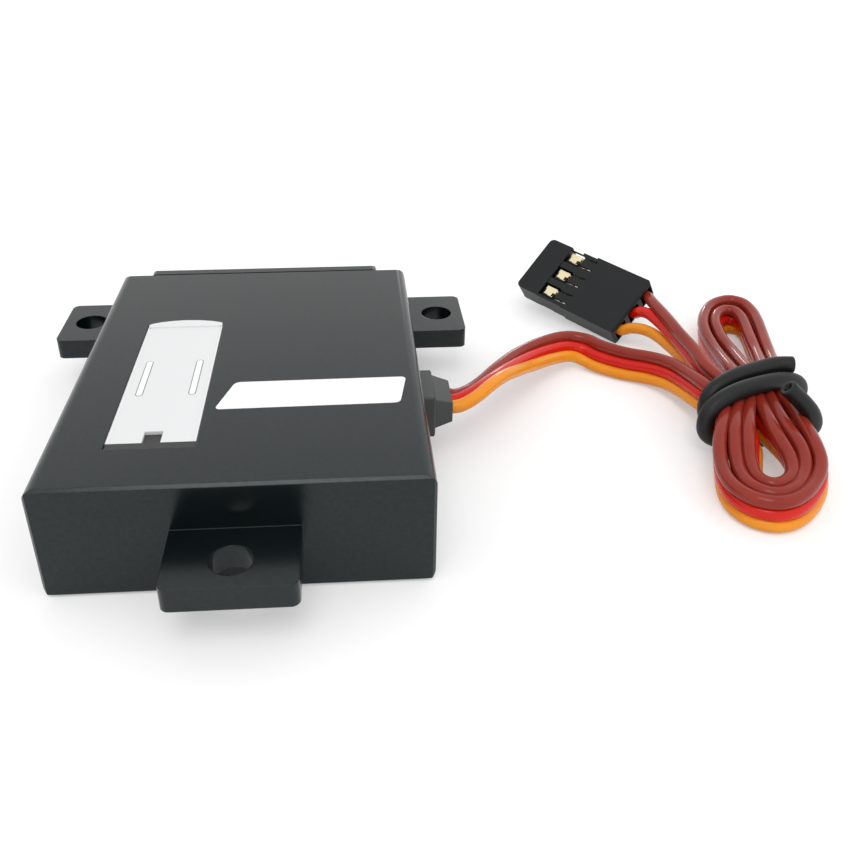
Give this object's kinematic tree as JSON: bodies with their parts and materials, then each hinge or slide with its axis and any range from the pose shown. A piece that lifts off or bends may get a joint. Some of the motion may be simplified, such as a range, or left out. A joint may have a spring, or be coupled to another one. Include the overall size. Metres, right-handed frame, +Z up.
{
  "type": "slim wing servo motor",
  "caption": "Slim flat servo motor in a black milled case with screw lugs and a splined output shaft, motor and gear train inside, and a tied ribbon lead with plug.",
  "frame": {"origin": "centre of the case's bottom face, on the surface the servo lies on", "axes": "+Z up through the case's thickness, +Y out along the output shaft, +X towards the lead's exit"},
  "size_m": [0.0784, 0.0593, 0.01],
  "materials": {
    "anodised_case": "matt black anodised over a fine milled surface",
    "steel": "bright machined",
    "plated_can": "plated sheet, satin",
    "black_plastic": "moulded, satin",
    "magnet": "sintered, dark",
    "brass": "machined",
    "copper": "enamelled copper wire",
    "board": "green solder mask",
    "ceramic": "fired, dull",
    "inner_wire": "soft insulation",
    "black_rubber": "moulded soft rubber",
    "brown_wire": "soft insulation, slight sheen",
    "red_wire": "soft insulation, slight sheen",
    "orange_wire": "soft insulation, slight sheen",
    "gold": "gold plated"
  },
  "bodies": {
    "servo_body": {"main_case": "anodised_case", "bottom_cover": "anodised_case", "rear_cover": "anodised_case", "bottom_screws": "steel", "rear_screws": "steel", "motor_screws": "steel", "idler_pin": "steel", "rear_bearing_outer": "steel", "front_bearing_outer": "steel", "motor_can": "plated_can", "motor_end_cap": "black_plastic", "sensor_body": "black_plastic", "control_chip": "black_plastic", "driver_chips": "black_plastic", "plug_housing": "black_plastic", "motor_magnets": "magnet", "motor_brushes": "brass", "motor_terminals": "brass", "motor_bush": "brass", "sensor_pins": "brass", "circuit_board": "board", "board_capacitors": "ceramic", "motor_wires": "inner_wire", "input_wires": "inner_wire", "cable_grommet": "black_rubber", "cable_tie": "black_rubber", "brown_lead": "brown_wire", "brown_hank": "brown_wire", "brown_tail": "brown_wire", "red_lead": "red_wire", "red_hank": "red_wire", "red_tail": "red_wire", "orange_lead": "orange_wire", "orange_hank": "orange_wire", "orange_tail": "orange_wire", "plug_contacts": "gold"},
    "rotor": {"motor_shaft": "steel", "motor_armature": "steel", "motor_windings": "copper", "motor_commutator": "brass", "motor_pinion": "brass"},
    "first_wheel": {"first_gear": "brass"},
    "second_wheel": {"second_gear": "brass"},
    "third_wheel": {"third_gear": "steel"},
    "output": {"output_gear": "steel", "output_shaft": "steel", "rear_bearing_inner": "steel", "front_bearing_inner": "steel", "sensor_wiper": "brass"},
    "rear_balls": {"rear_bearing_balls": "steel"},
    "front_balls": {"front_bearing_balls": "steel"}
  },
  "joints": [
    {"name": "motor_turn", "type": "hinge", "parent": "servo_body", "child": "rotor", "pos_m": [-0.0067, 0.012, 0.005], "axis": [0, 1, 0], "range_deg": [-4860, 4860]},
    {"name": "first_turn", "type": "hinge", "parent": "servo_body", "child": "first_wheel", "pos_m": [-0.0017, 0.012, 0.005], "axis": [0, 1, 0], "range_deg": [-1620, 1620]},
    {"name": "second_turn", "type": "hinge", "parent": "servo_body", "child": "second_wheel", "pos_m": [0.0033, 0.012, 0.005], "axis": [0, 1, 0], "range_deg": [-540, 540]},
    {"name": "third_turn", "type": "hinge", "parent": "servo_body", "child": "third_wheel", "pos_m": [-0.0017, 0.012, 0.005], "axis": [0, 1, 0], "range_deg": [-180, 180]},
    {"name": "output_turn", "type": "hinge", "parent": "servo_body", "child": "output", "pos_m": [0.0033, 0.012, 0.005], "axis": [0, 1, 0], "range_deg": [-60, 60]},
    {"name": "rear_balls_turn", "type": "hinge", "parent": "servo_body", "child": "rear_balls", "pos_m": [0.0033, 0.012, 0.005], "axis": [0, 1, 0], "range_deg": [-25.43, 25.43]},
    {"name": "front_balls_turn", "type": "hinge", "parent": "servo_body", "child": "front_balls", "pos_m": [0.0033, 0.012, 0.005], "axis": [0, 1, 0], "range_deg": [-22.37, 22.37]}
  ],
  "couplings": [
    {"joint": "first_turn", "follows": "motor_turn", "ratio": -0.33333},
    {"joint": "second_turn", "follows": "motor_turn", "ratio": 0.11111},
    {"joint": "third_turn", "follows": "motor_turn", "ratio": -0.037037},
    {"joint": "output_turn", "follows": "motor_turn", "ratio": 0.012346},
    {"joint": "rear_balls_turn", "follows": "motor_turn", "ratio": 0.0052301},
    {"joint": "front_balls_turn", "follows": "motor_turn", "ratio": 0.0046016}
  ]
}
